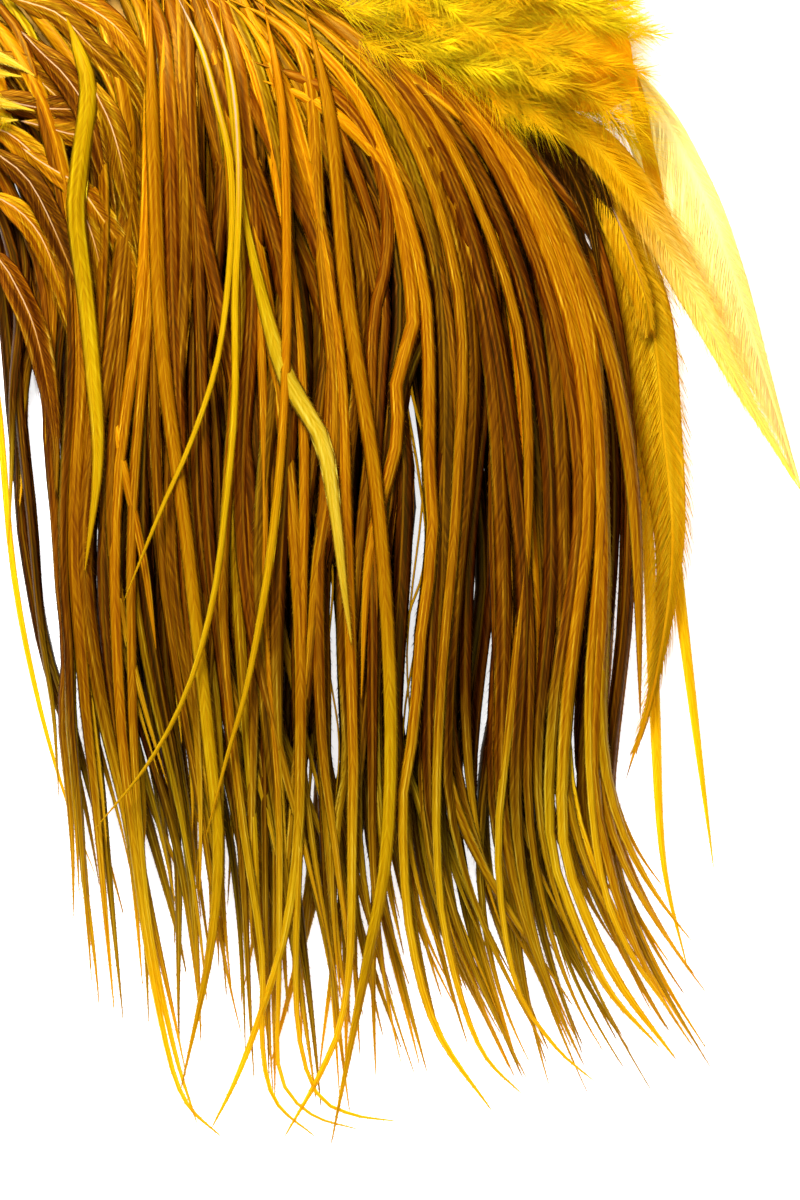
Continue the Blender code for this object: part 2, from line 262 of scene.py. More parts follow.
def feather_blank(name, barbs, seed, first=0.06, barb_reach=1.7, barb_girth=0.07, lean=24.0):
    """A straight hackle in millimetres: x across, y along, z up. Its vane is a thin arched
    shell with a ridge for the shaft, and barb tips stand out along both edges from the first."""
    rng = np.random.default_rng(seed)
    bm = tube(8, HACKLE_STATIONS)
    for vert in bm.verts:
        step = vert.co.z + 0.5
        along = step - 0.12 * math.sin(math.tau * step)  # closer together where it bends most
        turn = math.atan2(vert.co.y, vert.co.x)
        wide = float(vane_width(along))
        x = math.cos(turn)
        top = WEB * (1 - abs(x)) + (RIDGE if abs(x) < 0.1 else 0.0)
        rise = top if math.sin(turn) > 0 else -UNDERSIDE * (1 - abs(x))
        level = HACKLE_ARCH * (1 - x * x) * wide + rise * (0.35 + 0.65 * wide)
        vert.co = (x * HACKLE_HALF * wide, along * HACKLE_LENGTH, level)
    pinch_ends(bm, HACKLE_LENGTH)
    for k in range(barbs):
        for hand in (-1, 1):
            along = first + (0.995 - first) * (k + rng.uniform(0, 0.9)) / barbs
            wide = float(vane_width(along))
            angle = math.radians(lean * rng.uniform(0.6, 1.35))
            reach = barb_reach * rng.uniform(0.6, 1.25) * (0.4 + 0.6 * wide)
            aim = Vector((hand * math.sin(angle), math.cos(angle), -0.12))
            x, z = hand * HACKLE_HALF * wide * 0.86, HACKLE_ARCH * wide * 0.25
            edge = Vector((x, along * HACKLE_LENGTH, z))
            stance = aim.to_track_quat("Z", "Y").to_matrix().to_4x4()
            place = Matrix.Translation(edge) @ stance @ Matrix.Translation((0, 0, reach / 2))
            bmesh.ops.create_cone(
                bm, segments=3, radius1=barb_girth, radius2=0.0, depth=reach, cap_ends=False,
                matrix=place,
            )
    bmesh.ops.recalc_face_normals(bm, faces=bm.faces)
    mesh = mesh_of(bm, name)
    return {"mesh": mesh, "length": HACKLE_LENGTH, "half": HACKLE_HALF, "profile": vane_width}


def coords_of(mesh):
    """A mesh's points, as rows of x, y and z."""
    flat = np.empty(len(mesh.vertices) * 3)
    mesh.vertices.foreach_get("co", flat)
    return flat.reshape(-1, 3)


def bent(points, length, path, roll, wide):
    """A straight blank's points, carried onto a path (in millimetres) that it rolls about."""
    run = np.concatenate([[0.0], np.cumsum(stretches(path))])
    heading = unit(np.gradient(path, run, axis=0))
    at = points[:, 1] / length * run[-1]
    place, ahead = (
        np.stack([np.interp(at, run, v[:, k]) for k in range(3)], 1) for v in (path, heading)
    )
    side = unit(np.cross(ahead, (0.0, 0.0, 1.0)))
    up = np.cross(side, ahead)
    turn = np.interp(at, run, roll)[:, None]
    scale = np.interp(at, run, np.broadcast_to(wide, run.shape))[:, None]
    x, z = points[:, :1] * scale, points[:, 2:] * scale
    rolled_side = side * np.cos(turn) + up * np.sin(turn)
    rolled_up = up * np.cos(turn) - side * np.sin(turn)
    return place + x * rolled_side + z * rolled_up


def on_points(mesh, name, kind, values):
    """Keeps a colour or a vector at each point of a mesh, for its finish to read."""
    field = "color" if kind == "FLOAT_COLOR" else "vector"
    mesh.attributes.new(name, kind, "POINT").data.foreach_set(field, values.ravel())


MID_SHADE_TINT = np.array((0.50, 0.62, 0.72))  # painted shade: how much darker a long hackle's dye is made at mid-length, so that its arch near the root looks lit and its middle shaded
UV_SPREAD = 31.0  # so that no two feathers share a part of the pattern of barbs


def join_feathers(name, courses, finish, nodes):
    """One piece from a bent copy of a blank for each course, dyed, that rides on the patch."""
    bm = bmesh.new()
    for course in courses:
        bm.from_mesh(course["blank"]["mesh"])
    mesh = mesh_of(bm, name)
    straight = coords_of(mesh)
    rng = np.random.default_rng(len(straight))
    places, vane, dyes, webs, slots = [], [], [], [], []
    finishes = [finish]
    start = 0
    for course in courses:
        blank, path = course["blank"], course["path"]
        count = len(blank["mesh"].vertices)
        points = straight[start : start + count]
        start += count
        placed = bent(points, blank["length"], path, course["roll"], course["wide"])
        placed[:, 2] = np.maximum(placed[:, 2], SURFACE_GAP)
        places.append(placed)
        run = stretches(path).sum()
        along = points[:, 1] / blank["length"]
        half = blank["half"] * np.maximum(blank["profile"](along), 0.1)
        vane.append(np.stack([points[:, 0] / half, along * run + UV_SPREAD * rng.uniform()], 1))
        widths = np.broadcast_to(course["wide"], len(path))
        wide = np.interp(along, np.linspace(0, 1, len(path)), widths)
        faded = ease((along - 0.55) / 0.45) * course["fade"]
        webs.append(np.stack([faded, half * wide, 0 * along], 1))
        # Painted shade: the dye darkens along a long hackle's middle, by its deep.
        middle = ease((along - 0.12) / 0.25) * (1 - ease((along - 0.68) / 0.28))
        tipped = (ease((along - course["turn"]) / 0.28) * course["fade"])[:, None]
        dye = course["dye"] * (1 - course["deep"] * middle[:, None] * MID_SHADE_TINT)
        dye = dye * (1 - tipped) + course["tip_dye"] * tipped
        bared = course["bared"]
        quill = course["quill"] * (1 - ease((along - bared) / (0.8 * bared + 0.04)))
        dyes.append(np.concatenate([dye, quill[:, None]], 1))
        own = course["finish"] or finish
        if own not in finishes:
            finishes.append(own)
        slots.append(np.full(len(blank["mesh"].polygons), finishes.index(own)))
    mesh.vertices.foreach_set("co", (np.concatenate(places) * MM).ravel())
    corner = np.empty(len(mesh.loops), int)
    mesh.loops.foreach_get("vertex_index", corner)
    lay = mesh.uv_layers.new(name="vane")
    lay.uv.foreach_set("vector", np.concatenate(vane)[corner].ravel())
    # The dye attribute carries the shade painted into it as well as the feathers' own colours.
    on_points(mesh, "dye", "FLOAT_COLOR", np.concatenate(dyes))
    on_points(mesh, "web", "FLOAT_VECTOR", np.concatenate(webs))
    mesh.shade_smooth()
    for each in finishes:
        mesh.materials.append(each)
    mesh.polygons.foreach_set("material_index", np.concatenate(slots))
    piece = in_scene(name, mesh)
    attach(piece, "root")
    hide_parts(*nodes)


DEEP_BROWN = np.array((0.105, 0.024, 0.0003))
ORANGE_BROWN = np.array((0.23, 0.070, 0.0005))
GOLD = np.array((0.41, 0.178, 0.001))
OLIVE = np.array((0.26, 0.138, 0.001))
BRIGHT = np.array((0.62, 0.40, 0.003))
TIP_GOLD = np.array((0.70, 0.47, 0.010))
SHAFT_DYED = (0.66, 0.30, 0.004, 1.0)
SHAFT_BARE = (0.50, 0.37, 0.25, 1.0)
GLOSS = {"Specular IOR Level": 0.3, "Specular Tint": (1.0, 0.66, 0.06, 1.0)}
TIP_SEE_THROUGH = 0.62


def feather_finish(
    name, see_through, roughness=0.42, streaks=1.0, banding=0.5, shaft_width=0.2, rim_share=0.3,
    sweep=6.5, fineness=0.6,
):
    """Dyed barbs: fine lines that run out from the shaft, a paler shaft, and light that
    passes through the thin web. The dye, with any shade painted into it, is the piece's own, feather by
    feather."""
    finish, node = new_finish(name)

    def product(first, second, kind="Math"):
        return node(kind, first, second, operation="MULTIPLY")

    vane = node("SeparateXYZ", node("UVMap", uv_map="vane"))
    across, along = vane.outputs["X"], vane.outputs["Y"]
    dyed = node("Attribute", attribute_name="dye")
    pale = dyed.outputs["Alpha"]
    web = node("SeparateXYZ", node("Attribute", attribute_name="web").outputs["Vector"])
    outward = node("Math", across, operation="ABSOLUTE")
    swept = node("Math", outward, -sweep, along, operation="MULTIPLY_ADD")
    lines = product(node("CombineXYZ", outward, swept), (0.55, fineness, 1.0), "VectorMath")
    barbs = node("TexNoise", Vector=lines, Scale=1.0, Detail=3.0, Roughness=0.6)
    lengthwise = product(node("CombineXYZ", across, along), (3.4, 0.03, 1.0), "VectorMath")
    bands = node("TexNoise", Vector=lengthwise, Scale=1.0, Detail=3.0, Roughness=0.6)
    # The dye's depth: above 1 where the barbs lie thick, and it is then darker and redder.
    shade = node("MapRange", barbs, 0.30, 0.70, 1.0 + 0.45 * streaks, 1.0 - 0.30 * streaks)
    band = node("MapRange", bands, 0.30, 0.70, 1.0 + banding, 1.0 - 0.6 * banding)
    rim = node("MapRange", outward, 0.62, 1.02, 1.0, 1.0 - rim_share, interpolation_type="SMOOTHSTEP")
    deepened = node("Gamma", dyed, product(product(shade, band), rim))
    # The shaft is drawn by its distance in millimetres, and pale where the quill is bare.
    from_shaft = product(outward, web.outputs["Y"])
    shaft = node(
        "MapRange", from_shaft, 1.5 * shaft_width, 0.6 * shaft_width, interpolation_type="SMOOTHSTEP"
    )
    shown = product(shaft, node("Math", pale, 0.8, 0.12, operation="MULTIPLY_ADD"))
    quill = node("Mix", data_type="RGBA", Factor=pale, A=SHAFT_DYED, B=SHAFT_BARE).outputs["Result"]
    colour = node("Mix", data_type="RGBA", Factor=shown, A=deepened, B=quill).outputs["Result"]
    bump = node("Bump", Height=barbs, Strength=0.35, Distance=0.0002)
    body = node("BsdfPrincipled", colour, Roughness=roughness, Normal=bump, **GLOSS)
    glow = node("BsdfTranslucent", node("HueSaturation", Color=colour, Value=1.5))
    share = node("MapRange", web.outputs["X"])
    share.inputs["To Min"].default_value = see_through
    share.inputs["To Max"].default_value = max(see_through, TIP_SEE_THROUGH)
    node("OutputMaterial", node("MixShader", share, body, glow))
    return finish


hackle_finish = feather_finish("dyed_hackle", 0.22, streaks=0.6, banding=0.75)
thin_hackle = feather_finish("thin_hackle", 0.50, roughness=0.45, streaks=0.6)
hackle_blanks = [feather_blank(f"hackle_blank_{k}", 110, seed=k) for k in range(6)]
# Under the top row only the outer part of a hackle is seen, so its barbs start there.
covered_blanks = [feather_blank(f"covered_blank_{k}", 56, seed=10 + k, first=0.52) for k in range(6)]


def course_of(
    rng, blanks, path, dye, fade=0.5, wide=1.0, roll=0.0, swing=0.35, quill=0.0, bared=0.1,
    tip_dye=TIP_GOLD, turn=0.72, deep=0.0, finish=None,
):
    """How one feather lies: its path, its roll about its shaft and its dye. quill says how pale
    and bare its shaft is near the root, from 0 to 1, deep how much painted shade darkens its
    middle, and turn where it starts to take its tip's dye."""
    along = np.linspace(0, 1, len(path))
    rolling = roll + swing * np.sin(math.tau * (rng.uniform(0.6, 1.6) * along + rng.uniform(0, 1)))
    blank = blanks[rng.integers(len(blanks))]
    return {
        "blank": blank, "path": path, "roll": rolling, "wide": wide, "dye": dye, "fade": fade,
        "quill": quill, "tip_dye": tip_dye, "bared": bared, "turn": turn, "deep": deep,
        "finish": finish,
    }


BUNCHED = 0.55  # the share of its way to its bunch that a hackle goes by its tip
EDGE_TUCK = 0.075  # how far the right edge draws in where it leaves the skin, in row widths
TIP_SWEEP, TIP_DROP = 12.0, 9.0  # how far the right half's tips turn outward and reach down
LOWEST, VANE_RISE = 0.35, 1.3  # a lock's lowest hackle, and the height that its top one needs
MEASURED_AT = 0.45  # how far along a row its locks' width is measured


def lock_courses(
    rng, strands, rest, lock, locks, count, palette, odds, spill=0.9, girth=(0.75, 1.15), bare=0.0,
    raggedness=0.16, blanks=hackle_blanks,
):
    """The courses of the hackles in one lock: side by side and crossing a little, in layers
    from its underside to its top. Towards their tips they gather into bunches that curl
    together, at uneven lengths. Those at the row's left are thin and ragged, and some of
    those left of its middle have a bare pale quill."""
    courses = []
    bunches = (lock + np.array((rng.uniform(0.12, 0.42), rng.uniform(0.58, 0.88)))) / locks
    bunch_curls = rng.uniform(-7.0, 8.0, 2)
    for k in range(count):
        lane = (lock + (k + rng.uniform(0.2, 0.8)) / count) / locks
        bunch = int(abs(bunches[1] - lane) < abs(bunches[0] - lane))
        sparse = 1 - ease((lane - 0.08) / 0.12)
        drift = rng.normal(0, spill) / locks
        right = ease((lane - 0.5) / 0.25)
        reach = 1 - raggedness * (1 + 0.7 * sparse - 0.45 * right) * rng.uniform() ** 1.5
        along = np.linspace(rng.uniform(0.0, 0.05), reach, PATH_POINTS)
        share = along / reach
        waver = 0.22 * np.sin(math.tau * (along * rng.uniform(0.7, 1.8) + rng.uniform(0, 1))) / locks
        across = lane + (drift * ease(along * 1.1) + waver) * ease(along / 0.25)
        across = across + (bunches[bunch] - across) * BUNCHED * ease((share - 0.62) / 0.38)
        tucked = ease(along / 0.12) * (1 - ease((along - 0.22) / 0.16))
        across = across - EDGE_TUCK * tucked * ease((lane - 0.80) / 0.2)
        flat = on_sheet(strands, across, along)
        heading = unit(np.gradient(flat, axis=0))
        sweep = TIP_SWEEP * ease((lane - 0.45) / 0.35) * np.clip((share - 0.80) / 0.20, 0, 1) ** 1.7
        own = (bunch_curls[bunch] + rng.normal(0, 2.2)) * np.clip((share - 0.66) / 0.34, 0, 1) ** 2
        flat = flat + np.stack([-heading[:, 1], heading[:, 0]], 1) * (sweep + own)[:, None]
        flat[:, 1] -= TIP_DROP * right * ease((share - 0.65) / 0.35)
        flat = parted(flat)
        layer = (k * 0.618 + rng.uniform(0, 0.25)) % 1.0
        level = LOWEST + layer * (LOCK_DEPTH - VANE_RISE)
        settle = 1 - 0.45 * ease((along - 0.75) / 0.25)
        lift = level * ease(along / 0.10 + 0.25) * settle
        path = raised(flat, rest, lift)
        right_edge, left_edge = ease((lane - 0.88) / 0.10), 1 - ease(lane / 0.09)
        # Painted shade: a hackle's dye is darker the lower it lies in its lock. At the row's right edge
        # most of this shade is left off, and those hackles are dyed half as bright again.
        painted_layer_shade = 0.5 * (1 - layer) * (1 - 0.8 * right_edge)
        dye = palette[rng.choice(len(palette), p=odds)] * rng.uniform(0.8, 1.15) * (1 - painted_layer_shade)
        dye = dye * (1 + 0.5 * right_edge)
        wide, roll = rng.uniform(*girth) * (1 - 0.15 * sparse), rng.normal(0, 0.3)
        quill = 1.0 if rng.uniform() < bare and lane < 0.6 else 0.0
        # Painted shade on the middles: more in the right half, less on the outermost hackles.
        deep = (1.0 + 0.2 * right) * (1 - 0.7 * right_edge - 0.3 * left_edge)
        fade = rng.uniform(0.55, 1.0)
        courses.append(course_of(rng, blanks, path, dye, fade, wide, roll, quill=quill, deep=deep))
    return courses


def lay_row(label, node_label, strands, rest, locks, gap, palette, odds, seed, extras=(), **more):
    """All the locks of a row, with as many hackles in each as its width takes. Extras are
    (lock, course) pairs for feathers that have their own course."""
    for lock in range(locks):
        rng = np.random.default_rng(seed * 100 + lock)
        ends = on_sheet(strands, np.array([lock, lock + 1]) / locks, np.full(2, MEASURED_AT))
        count = max(4, round(float(np.linalg.norm(ends[1] - ends[0])) / gap))
        courses = lock_courses(rng, strands, rest, lock, locks, count, palette, odds, **more)
        courses += [course for number, course in extras if number == lock + 1]
        number = f"{lock + 1:02d}"
        join_feathers(f"{label}_{number}", courses, hackle_finish, [f"{node_label}_{number}"])


# Painted shade: the under row lies beneath the others and draws the darkest browns most often.
lay_row(
    "under_feathers", "under_hackle", UNDER_ROW, UNDER_REST, 11, 1.6,
    (DEEP_BROWN, ORANGE_BROWN, OLIVE, GOLD), (0.50, 0.35, 0.03, 0.12), seed=1, girth=(0.95, 1.35),
    raggedness=0.3, blanks=covered_blanks,
)


# The middle row: long hackles rooted nearer the middle of the skin, lying over the under row.
# They are the same slim dyed hackles, mostly seen between those of the top row.
MIDDLE_ROW = (
    ((-77, -20), (-59, -47), (-47, -77), (-45, -110), (-38, -161), (-30, -215), (-24, -259)),
    ((-52, -20), (-36, -44), (-27, -70), (-25, -110), (-26, -161), (-15, -215), (-12, -265)),
    ((-27, -19), (-17, -37), (-12, -68), (-6, -110), (-4, -161), (3, -215), (6, -264)),
    ((-6, -20), (4, -37), (13, -68), (20, -110), (20, -161), (22, -215), (27, -278)),
    ((15, -19), (32, -37), (43, -68), (48, -110), (44, -161), (40, -215), (43, -264)),
    ((37, -20), (57, -40), (69, -68), (77, -110), (74, -161), (72, -215), (81, -267)),
    ((50, -21), (75, -47), (89, -72), (96, -110), (96, -156), (92, -210), (105, -261)),
)
MIDDLE_REST = ((-19, 2.1), (-38, 6.5), (-75, 4.7), (-225, 4.7), (-265, 3.4))

# Painted shade: the middle row draws the dark browns more often than the top row does.
lay_row(
    "middle_feathers", "middle_hackle", MIDDLE_ROW, MIDDLE_REST, 11, 1.7,
    (DEEP_BROWN, ORANGE_BROWN, OLIVE, GOLD), (0.32, 0.43, 0.03, 0.22), seed=2, girth=(0.9, 1.25),
    raggedness=0.26, blanks=covered_blanks,
)


# The top row: the longest hackles, rooted at the middle of the skin. They leave it to both
# sides, bend round to the tail and hang over the other rows, glossy where they arch.
TOP_ROW = (
    ((-76, -7), (-51, -27), (-38, -51), (-33, -93), (-36, -147), (-31, -203), (-26, -252)),
    ((-48, -3), (-32, -24), (-21, -47), (-19, -86), (-23, -147), (-16, -208), (-9, -270)),
    ((-24, 4), (-15, -16), (-13, -42), (-13, -86), (-12, -147), (-4, -208), (-1, -264)),
    ((-10, 5), (-2, -16), (2, -42), (8, -86), (9, -147), (12, -208), (14, -275)),
    ((0, -1), (13, -21), (27, -42), (40, -82), (34, -147), (31, -208), (30, -261)),
    ((9, -4), (29, -23), (48, -46), (60, -86), (62, -147), (61, -208), (67, -264)),
    ((20, -7), (48, -26), (69, -49), (86, -88), (90, -147), (88, -203), (102, -257)),
)
TOP_REST = ((-4, 2.1), (-38, 11.3), (-80, 9.4), (-225, 9.4), (-262, 6.6))


def barb_blank(name, bends):
    """One barb a millimetre long: a fine spike along y with a joint at each bend."""
    bm = bmesh.new()
    turned = Matrix.Rotation(-math.pi / 2, 4, "X") @ Matrix.Translation((0, 0, 0.5))
    bmesh.ops.create_cone(
        bm, segments=3, radius1=1.0, radius2=0.0, depth=1.0, cap_ends=False, matrix=turned
    )
    sides = [e for e in bm.edges if abs(e.verts[0].co.y - e.verts[1].co.y) > 0.5]
    bmesh.ops.subdivide_edges(bm, edges=sides, cuts=bends)
    bmesh.ops.recalc_face_normals(bm, faces=bm.faces)
    return mesh_of(bm, name)


fine_barb = barb_blank("fine_barb", 2)


def with_barbs(shape, name, count, barb=fine_barb):
    """The shape's mesh with fine barbs after it, and how many points come before the barbs."""
    mesh = mesh_of(shape, name)
    before = len(mesh.vertices)
    bm = bmesh.new()
    bm.from_mesh(mesh)
    for _ in range(count):
        bm.from_mesh(barb)
    bmesh.ops.recalc_face_normals(bm, faces=bm.faces)
    bm.to_mesh(mesh)
    bm.free()
    return mesh, before


def barbs_placed(roots, aims, bows, lengths, girths, barb=fine_barb):
    """Places for the points of one fine barb at each root, aimed along aims and bowed by bows."""
    points = coords_of(barb)
    s = points[None, :, 1:2]
    side = unit(np.cross(aims, (0.13, 0.31, 0.94)))  # no barb is aimed exactly along this
    up = np.cross(side, aims)
    reach = lengths[:, None, None]
    thick = girths[:, None, None]
    flat = points[None, :, 0:1] * side[:, None] + points[None, :, 2:3] * up[:, None]
    shaft = roots[:, None] + s * reach * aims[:, None] + s * s * reach * bows[:, None]
    return (shaft + flat * thick).reshape(-1, 3)


def round_profile(along):
    """A body feather's width along it: a short quill, a broad web and a rounded tip."""
    return (0.12 + 0.88 * ease(along / 0.30)) * np.sqrt(np.clip(1.02 - along**5, 0.0, 1.0))


def webby_blank(
    name, length, left, right, arch, stations, barbs, seed, profile, lean=42.0, fringe=1.3, girth=0.06,
    shell_share=0.88,
):
    """A straight webby feather: a thin shell out to most of its width, and on it long barbs
    that leave the shaft at a wide angle, bend to the tip and part into a soft fringe."""
    rng = np.random.default_rng(seed)
    bm = tube(12, stations)
    for vert in bm.verts:
        along = vert.co.z + 0.5
        turn = math.atan2(vert.co.y, vert.co.x)
        wide = float(profile(along)) * shell_share
        x = math.cos(turn)
        rise = 0.12 * (1 - abs(x)) + (0.35 * (1.1 - along) if abs(x) < 0.1 else 0.0)
        lifted = arch * (1 - x * x) * wide + (rise if math.sin(turn) > 0 else -0.08 * (1 - abs(x)))
        vert.co = (x * (right if x > 0 else left) * wide, along * length, lifted)
    pinch_ends(bm, length)
    mesh, shell = with_barbs(bm, name, 2 * barbs)
    places = coords_of(mesh)
    hand = np.repeat((-1.0, 1.0), barbs)
    along = 0.03 + 0.93 * (np.tile(np.arange(barbs), 2) + rng.uniform(0, 0.9, 2 * barbs)) / barbs
    wide = profile(along)
    angle = np.radians(lean * rng.uniform(0.8, 1.2, 2 * barbs) * (1 - 0.5 * along**3))
    aims = unit(np.column_stack([hand * np.sin(angle), np.cos(angle), np.full(2 * barbs, 0.02)]))
    reach = np.where(hand > 0, right, left)
    lengths = reach * wide / np.sin(angle) * rng.uniform(0.85, fringe, 2 * barbs)
    bows = np.column_stack([-hand * 0.12, np.full(2 * barbs, 0.18), np.full(2 * barbs, -0.06)])
    roots = np.column_stack([hand * 0.04 * reach, along * length, arch * wide * 0.95 + 0.16])
    places[shell:] = barbs_placed(roots, aims, bows, lengths, np.full(2 * barbs, girth))
    mesh.vertices.foreach_set("co", places.ravel())
    return {"mesh": mesh, "length": length, "half": max(left, right), "profile": profile}


def along_points(points, count=PATH_POINTS):
    """A smooth path through a few (x, y, ...) points."""
    points = np.array(points, float)
    return curve_weights(len(points), np.linspace(0, 1, count)) @ points


# Hackles that leave their lock, with hooked or crossing ends: (lock, width against a plain
# hackle's, dye, (x, y) path)
HOOKED = (
    (3, 0.95, GOLD, ((-16, -14), (-15, -40), (-17, -86), (-23, -133), (-22, -180), (-17, -226),
        (-12, -257), (-7, -273), (2, -282))),
    (4, 0.80, GOLD, ((-12, -14), (-12, -40), (-15, -86), (-19, -133), (-19, -180), (-16, -226),
        (-10, -259), (-4, -279))),
    (5, 0.85, GOLD, ((-9, -13), (-2, -22), (3, -45), (5, -98), (2, -156), (6, -203), (11, -238),
        (11, -259), (14, -273), (24, -282))),
    (5, 0.70, GOLD, ((-8, -13), (0, -22), (6, -45), (11, -98), (12, -156), (15, -203), (15, -243),
        (15, -266), (22, -276), (34, -280))),
    (6, 0.80, GOLD, ((-5, -13), (4, -22), (12, -45), (20, -98), (21, -156), (20, -203), (19, -250),
        (23, -270), (31, -276), (43, -278))),
    (6, 1.00, GOLD, ((-3, -13), (8, -22), (19, -45), (29, -98), (31, -156), (32, -226), (30, -252),
        (25, -266), (16, -282))),
    (5, 1.05, GOLD, ((-9, -14), (-2, -24), (4, -46), (13, -92), (20, -156), (20, -203), (17, -231),
        (11, -252), (5, -268), (-1, -280))),
    (8, 1.00, GOLD, ((4, -12), (21, -25), (37, -46), (49, -86), (48, -133), (44, -180), (44, -215),
        (46, -236), (52, -257), (65, -276))),
    (8, 0.90, GOLD, ((8, -12), (27, -25), (45, -47), (57, -86), (56, -133), (52, -180), (52, -219),
        (55, -240), (62, -261), (72, -272))),
    (11, 1.20, GOLD, ((19, -12), (46, -28), (67, -52), (83, -92), (87, -133), (82, -180), (81, -210),
        (85, -226), (94, -245), (108, -264))),
    (11, 1.10, ORANGE_BROWN, ((17, -12), (42, -28), (63, -51), (79, -90), (85, -133), (79, -180),
        (78, -210), (82, -226), (91, -246), (104, -261))),
    (12, 0.90, GOLD, ((22, -13), (49, -30), (70, -54), (86, -94), (90, -133), (87, -180), (89, -215),
        (95, -235), (108, -255))),
    (9, 0.80, GOLD, ((12, -12), (35, -26), (54, -49), (70, -90), (73, -133), (69, -180), (66, -215),
        (70, -245), (79, -260), (89, -269))),
    (6, 1.10, GOLD, ((3, -16), (13, -21), (20, -28), (23, -42), (24, -63), (26, -86), (28, -114),
        (24, -156), (20, -191))),
    (7, 1.00, ORANGE_BROWN, ((8, -31), (17, -34), (28, -39), (36, -49), (40, -63), (40, -77), (37, -93),
        (37, -121), (38, -161))),
    (8, 1.15, GOLD, ((9, -35), (20, -39), (31, -46), (41, -59), (46, -86), (46, -110), (42, -124),
        (36, -147), (34, -180))),
    (12, 1.30, GOLD, ((24, -14), (54, -35), (72, -54), (82, -72), (90, -92), (95, -114), (98, -140),
        (99, -184))),
    (3, 0.70, GOLD, ((-23.5, -112), (-22, -122), (-20, -131), (-18, -140), (-16, -150), (-13.5, -168))),
)
HOOK_TIP = np.array((0.72, 0.52, 0.010))
HOOK_LINE = -200.0  # those that end below this y have a bright wide tip
# Hair-thin feathers across the gaps: (lock, width against a plain hackle's, (x, y) path)
WISPS = (
    (9, 0.20, ((40, -84), (45, -112), (48, -130), (49.5, -146), (47, -166), (44, -186), (45, -212))),
    (9, 0.16, ((52, -90), (49.5, -118), (48, -138), (46, -154), (44.8, -170), (45.5, -190),
        (42, -214))),
    (9, 0.22, ((44, -88), (46, -108), (50.5, -126), (49, -148), (44.6, -162), (43, -180), (41, -206))),
    (8, 0.16, ((24, -126), (27.5, -150), (26.5, -170), (29, -190), (27, -214))),
)
# Small pale downy feathers at the far left: (x, y) paths
PALE_DOWN = (
    ((-62, -28), (-55, -29), (-48, -31), (-41, -35)),
    ((-62, -33), (-56, -33), (-50, -34), (-44, -35)),
    ((-62, -39), (-56, -40), (-49, -41), (-41, -43)),
    ((-62, -44), (-57, -44), (-51, -45), (-45, -45)),
)
PALE_DOWN_DYE = np.array((0.68, 0.48, 0.04))
# Short webby feathers with bare pale quills, over the left locks: (lock, (x, y) path)
CONTOUR = (
    (2, ((-55, -30), (-47, -31), (-40, -36), (-33, -44), (-29, -55), (-27, -68))),
    (1, ((-55, -61), (-48, -64), (-41, -71), (-36, -82), (-33, -93), (-31, -107))),
    (1, ((-56, -73), (-50, -77), (-46, -84), (-42, -93), (-39, -105), (-37, -119), (-37, -133))),
    (1, ((-56, -46), (-50, -47), (-44, -51), (-37, -58), (-31, -68), (-28, -82))),
    (2, ((-40, -54), (-34, -60), (-29, -69), (-26, -80), (-24, -92), (-24, -106))),
    (2, ((-56, -39), (-49, -40), (-40, -42), (-30, -43), (-24, -47), (-20, -54), (-18, -65))),
    (2, ((-45, -45), (-40, -46), (-33, -48), (-23, -50), (-19, -55), (-16, -63), (-14, -77))),
    (2, ((-45, -51), (-38, -56), (-32, -60), (-27, -66), (-21, -75), (-18, -86), (-16, -100))),
    (1, ((-57, -49), (-50, -53), (-42, -60), (-34, -77), (-30, -89), (-29, -103), (-28, -117))),
    (3, ((-43, -13), (-33, -16), (-24, -22), (-18, -30), (-13, -41), (-9, -54))),
    (3, ((-50, -15), (-44, -17), (-36, -20), (-29, -27), (-21, -35), (-16, -44), (-13, -58))),
    (3, ((-45, -24), (-40, -29), (-35, -34), (-30, -42), (-27, -51), (-24, -63), (-22, -77))),
    (3, ((-30, -33), (-27, -39), (-24, -45), (-22, -52), (-20, -62), (-18, -72), (-17, -84))),
)
# Webby feathers low in the hollow beside the outermost hackles and under the left locks, whose very
# dark dye is painted shade of the hollows: (lock, (x, y, z) path)
HOLLOW = (
    (12, ((58, -30, 5.0), (69, -41, 7.0), (76, -53, 7.5), (82, -66, 7.0), (88, -80, 6.0))),
    (12, ((62, -34, 5.0), (73, -46, 6.6), (80, -60, 7.0), (86, -76, 6.4), (90, -94, 5.6))),
    (1, ((-62, -36, 4.0), (-54, -44, 5.5), (-45, -55, 5.5), (-40, -67, 5.0), (-38, -82, 4.5))),
    (1, ((-62, -48, 3.4), (-54, -57, 4.5), (-47, -69, 4.5), (-43, -82, 4.0), (-41, -92, 3.5))),
    (2, ((-58, -38, 5.0), (-48, -46, 6.5), (-38, -58, 6.5), (-33, -72, 6.0), (-30, -88, 5.5))),
    (12, ((64, -34, 6.0), (76, -45, 10.8), (82, -54, 10.2), (87, -66, 9.0), (90, -82, 8.2))),
    (12, ((70, -36, 6.0), (81, -47, 10.4), (87, -58, 9.6), (91, -72, 8.0))),
    (12, ((74, -36, 6.0), (86, -50, 9.8), (91, -62, 8.8), (94, -76, 7.0))),
)
OVER_TOP = ((-8, 7.0), (-34, 14.6), (-80, 12.8), (-225, 12.8), (-262, 9.0))
contour_web = feather_finish(
    "contour_web", 0.22, roughness=0.62, streaks=1.2, banding=0.9, shaft_width=0.13, rim_share=0.15,
    sweep=9.0, fineness=1.3,
)


def contour_profile(along):
    """A short webby feather's width along it: widest near the root, and tapering to its tip."""
    tip = 1.0 - 0.92 * ease((along - 0.35) / 0.65)
    return (0.15 + 0.85 * ease(along / 0.22)) * np.clip(tip, 0.03, 1.0)


contour_blanks = [
    webby_blank(
        f"contour_blank_{k}", 80.0, 4.2, 4.2, 0.7, 18, 150, 30 + k, contour_profile, lean=20.0,
        girth=0.08, shell_share=0.75,
    )
    for k in range(2)
]

SHORT_POINTS = 30  # points in a short feather's path

